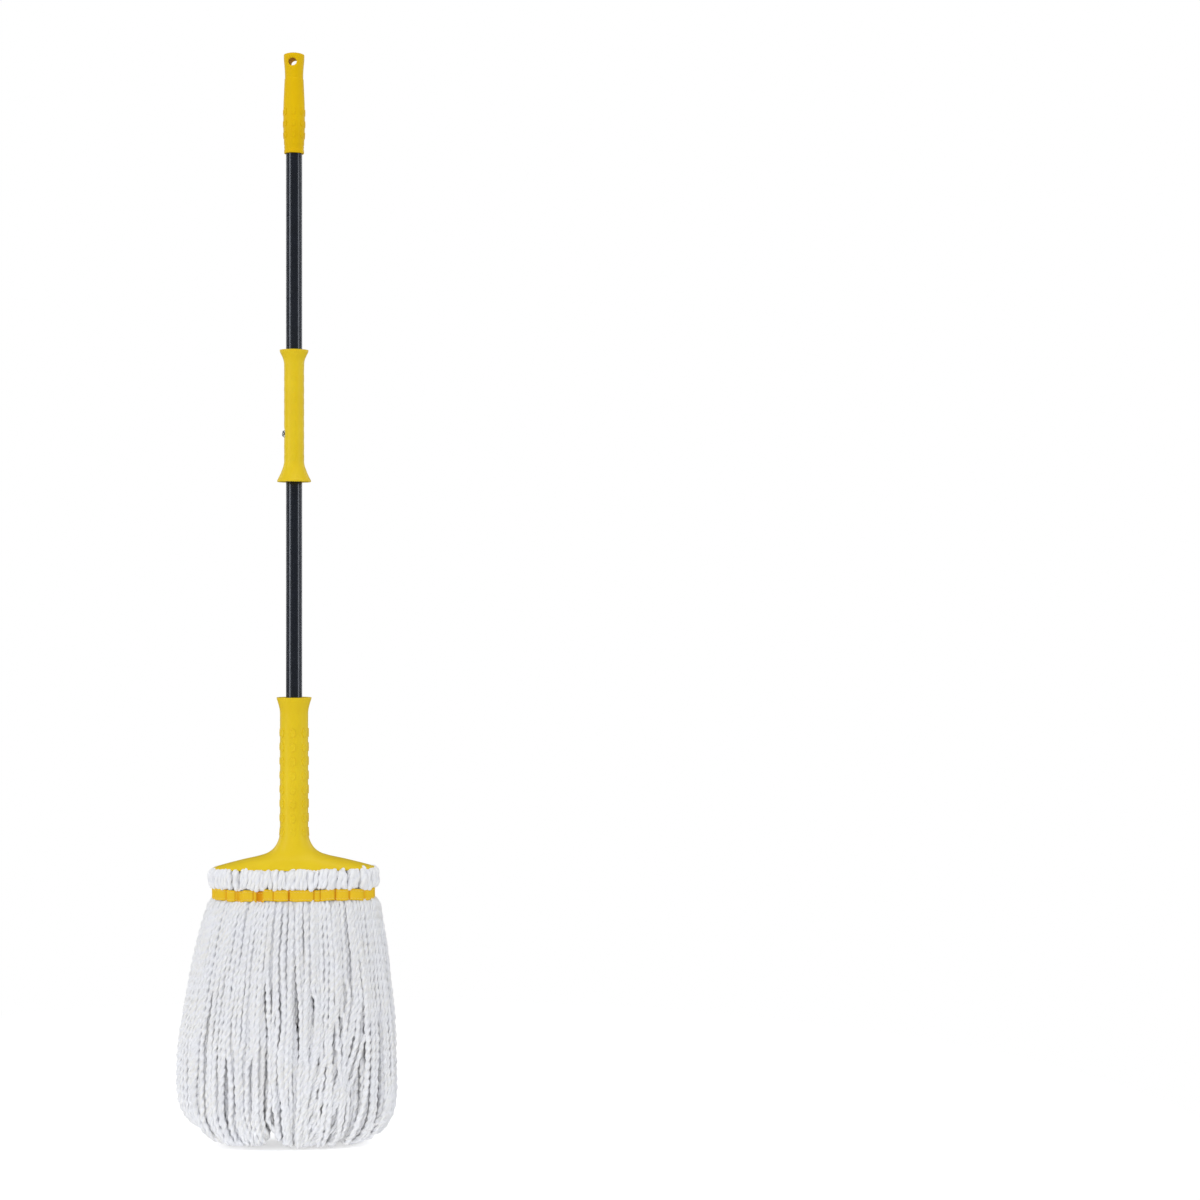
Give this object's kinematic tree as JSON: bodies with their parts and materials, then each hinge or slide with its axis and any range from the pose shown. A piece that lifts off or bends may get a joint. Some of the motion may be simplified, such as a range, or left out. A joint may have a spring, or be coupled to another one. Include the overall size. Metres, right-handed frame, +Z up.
{
  "type": "string mop",
  "caption": "Self-wringing string mop: two-piece tube with a hanging grip, a sleeve that slides up the tube and twists, and a wide head of looped yarn.",
  "frame": {"origin": "on the tube's axis, level with the lowest yarn", "axes": "+Z up along the tube, X along the head's long side, -Y the side seen from the front"},
  "size_m": [0.3, 0.13, 1.494],
  "materials": {
    "yellow_plastic": "satin, fine moulded grain",
    "dark_coat": "gloss powder coat, near-black navy",
    "white_yarn": "soft twisted yarn",
    "yellow_tape": "woven tape",
    "bright_steel": "polished",
    "zinc_steel": "zinc plated",
    "grey_plastic": "matte"
  },
  "bodies": {
    "pole": {"top_grip": "yellow_plastic", "upper_tube": "dark_coat", "joint_sleeve": "yellow_plastic", "lower_tube": "dark_coat", "button_spring": "zinc_steel", "stop_collar": "grey_plastic", "stop_pin": "zinc_steel", "anchor_hub": "grey_plastic", "anchor_cap": "grey_plastic", "anchor_washer": "zinc_steel", "anchor_screw": "zinc_steel", "return_yarn": "white_yarn"},
    "slider": {"upper_bush": "grey_plastic", "lower_bush": "grey_plastic"},
    "head": {"wringer_sleeve": "yellow_plastic", "clamp_plate": "grey_plastic", "plate_screw_1": "zinc_steel", "plate_screw_2": "zinc_steel", "plate_screw_3": "zinc_steel", "plate_screw_4": "zinc_steel", "yarn_header": "white_yarn", "header_tape": "yellow_tape", "yarn_bundle_right": "white_yarn", "yarn_bundle_back_right": "white_yarn", "yarn_bundle_back_left": "white_yarn", "yarn_bundle_left": "white_yarn", "yarn_bundle_front_left": "white_yarn", "yarn_bundle_front_right": "white_yarn"},
    "button": {"snap_button": "bright_steel"}
  },
  "joints": [
    {"name": "head_slide", "type": "slide", "parent": "pole", "child": "slider", "axis": [0, 0, 1], "range_m": [0, 0.22], "deforming": ["return_yarn"]},
    {"name": "head_twist", "type": "hinge", "parent": "slider", "child": "head", "pos_m": [0, 0, 0.5], "axis": [0, 0, 1], "range_deg": [-170, 170]},
    {"name": "button_press", "type": "slide", "parent": "pole", "child": "button", "axis": [1, 0, 0], "range_m": [0, 0.0052], "stiffness_N_per_m": 1000, "springref_m": -0.002, "deforming": ["button_spring"]}
  ]
}
